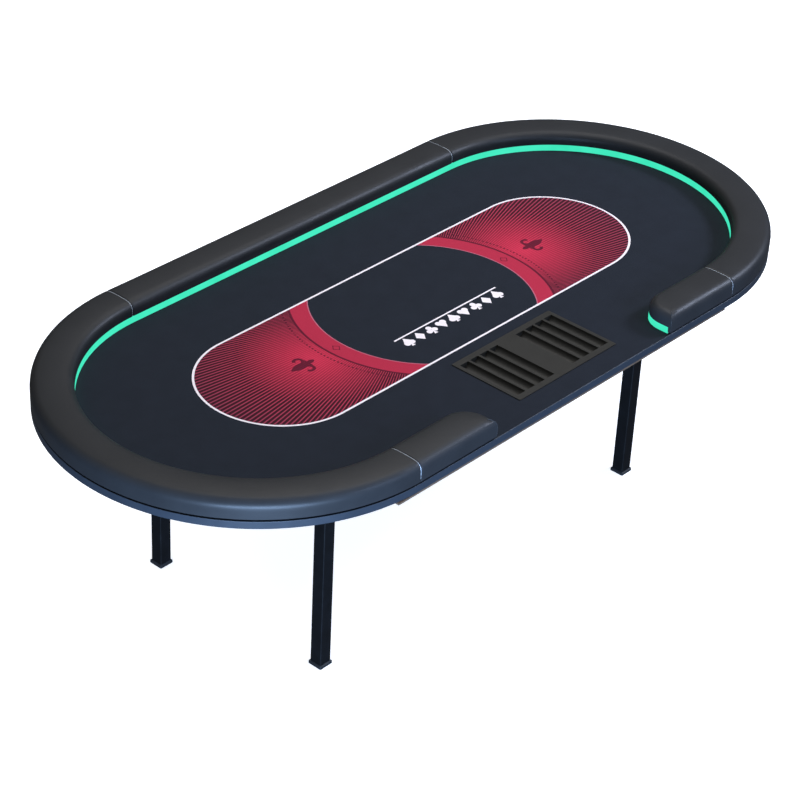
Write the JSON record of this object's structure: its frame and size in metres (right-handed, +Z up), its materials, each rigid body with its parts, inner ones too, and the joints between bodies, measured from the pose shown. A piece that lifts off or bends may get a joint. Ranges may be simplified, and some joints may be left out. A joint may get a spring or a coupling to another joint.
{
  "type": "poker table",
  "caption": "Oval folding poker table with a padded C-shaped armrest, a light strip round the playing surface, a lift-out chip tray and folding leg frames.",
  "frame": {"origin": "on the floor under the middle of the oval top", "axes": "+X along the table, +Y away from the dealer, +Z up"},
  "size_m": [2.53, 1.2, 0.78],
  "materials": {
    "board": "plywood, sealed by its covers",
    "foam": "upholstery foam, under the covers",
    "cloth": "printed speed cloth, matt",
    "skirt_vinyl": "smooth dark vinyl",
    "hardboard": "thin board, dark face and bare brown edge",
    "batten_wood": "dark stained pine",
    "riser_wood": "painted black",
    "rail_vinyl": "dark grey upholstery vinyl, satin",
    "channel_aluminium": "extruded, mill finish",
    "tape": "white flexible circuit",
    "light_chips": "small lamps",
    "diffuser": "milky light cover, lit green-blue",
    "lead": "thin black sheath",
    "black_plastic": "moulded, fine grain",
    "circuit_board": "green circuit board",
    "inlet_plastic": "moulded barrel socket",
    "grommet_rubber": "soft black",
    "button_plastic": "grey push button",
    "screw_steel": "zinc plated",
    "tray_plastic": "dark moulded plastic, satin",
    "leg_steel": "black powder coat",
    "foot_plastic": "black moulded plastic",
    "pin_steel": "turned, zinc plated",
    "brace_steel": "zinc plated strip"
  },
  "bodies": {
    "top": {"block_screws": "screw_steel", "board_screws": "screw_steel", "controller_base": "black_plastic", "controller_board": "circuit_board", "controller_case": "black_plastic", "controller_screws": "screw_steel", "core_board": "board", "edge_skirt": "skirt_vinyl", "foam_underlay": "foam", "front_batten": "batten_wood", "lead_grommet": "grommet_rubber", "led_channel": "channel_aluminium", "led_chips": "light_chips", "led_diffuser": "diffuser", "led_lead": "lead", "led_tape": "tape", "mounting_board": "hardboard", "playing_cloth": "cloth", "power_inlet": "inlet_plastic", "rail_core": "board", "rail_cover_front_left": "rail_vinyl", "rail_cover_front_right": "rail_vinyl", "rail_cover_left_end": "rail_vinyl", "rail_cover_rear": "rail_vinyl", "rail_cover_right_end": "rail_vinyl", "rail_foam": "foam", "rail_riser": "riser_wood", "rail_screws": "screw_steel", "rear_batten": "batten_wood", "left_brace_bracket": "brace_steel", "left_brace_pin": "pin_steel", "left_front_pivot_block": "black_plastic", "left_rear_pivot_block": "black_plastic", "right_brace_bracket": "brace_steel", "right_brace_pin": "pin_steel", "right_front_pivot_block": "black_plastic", "right_rear_pivot_block": "black_plastic"},
    "left_leg_frame": {"left_cross_tube": "leg_steel", "left_front_foot": "foot_plastic", "left_front_leg": "leg_steel", "left_leg_caps": "foot_plastic", "left_pivot_tube": "leg_steel", "left_rear_foot": "foot_plastic", "left_rear_leg": "leg_steel"},
    "left_upper_arm": {"left_brace_upper_arm": "brace_steel"},
    "left_lower_arm": {"left_brace_lower_arm": "brace_steel"},
    "right_leg_frame": {"right_cross_tube": "leg_steel", "right_front_foot": "foot_plastic", "right_front_leg": "leg_steel", "right_leg_caps": "foot_plastic", "right_pivot_tube": "leg_steel", "right_rear_foot": "foot_plastic", "right_rear_leg": "leg_steel"},
    "right_upper_arm": {"right_brace_upper_arm": "brace_steel"},
    "right_lower_arm": {"right_brace_lower_arm": "brace_steel"},
    "chip_tray": {"chip_tray": "tray_plastic"},
    "power_button": {"power_button": "button_plastic"}
  },
  "joints": [
    {"name": "left_leg_fold", "type": "hinge", "parent": "top", "child": "left_leg_frame", "pos_m": [-0.724, 0, 0.655], "axis": [0, -1, 0], "range_deg": [0, 90]},
    {"name": "left_upper_arm_turn", "type": "hinge", "parent": "top", "child": "left_upper_arm", "pos_m": [-0.524, 0, 0.677], "axis": [0, -1, 0], "range_deg": [-44.3, 0]},
    {"name": "left_lower_arm_turn", "type": "hinge", "parent": "left_leg_frame", "child": "left_lower_arm", "pos_m": [-0.724, 0, 0.485], "axis": [0, -1, 0], "range_deg": [0, 36.5]},
    {"name": "right_leg_fold", "type": "hinge", "parent": "top", "child": "right_leg_frame", "pos_m": [0.612, 0, 0.655], "axis": [0, 1, 0], "range_deg": [0, 90]},
    {"name": "right_upper_arm_turn", "type": "hinge", "parent": "top", "child": "right_upper_arm", "pos_m": [0.412, 0, 0.677], "axis": [0, 1, 0], "range_deg": [-44.3, 0]},
    {"name": "right_lower_arm_turn", "type": "hinge", "parent": "right_leg_frame", "child": "right_lower_arm", "pos_m": [0.612, 0, 0.485], "axis": [0, 1, 0], "range_deg": [0, 36.5]},
    {"name": "chip_tray_lift", "type": "slide", "parent": "top", "child": "chip_tray", "axis": [0, 0, 1], "range_m": [0, 0.12]},
    {"name": "power_button_press", "type": "slide", "parent": "top", "child": "power_button", "axis": [0, 0, 1], "range_m": [0, 0.0015], "stiffness_N_per_m": 400}
  ],
  "couplings": [
    {"joint": "left_upper_arm_turn", "follows": "left_leg_fold", "ratio": -0.48701},
    {"joint": "left_lower_arm_turn", "follows": "left_leg_fold", "ratio": 0.39999},
    {"joint": "right_upper_arm_turn", "follows": "right_leg_fold", "ratio": -0.48701},
    {"joint": "right_lower_arm_turn", "follows": "right_leg_fold", "ratio": 0.39999}
  ]
}
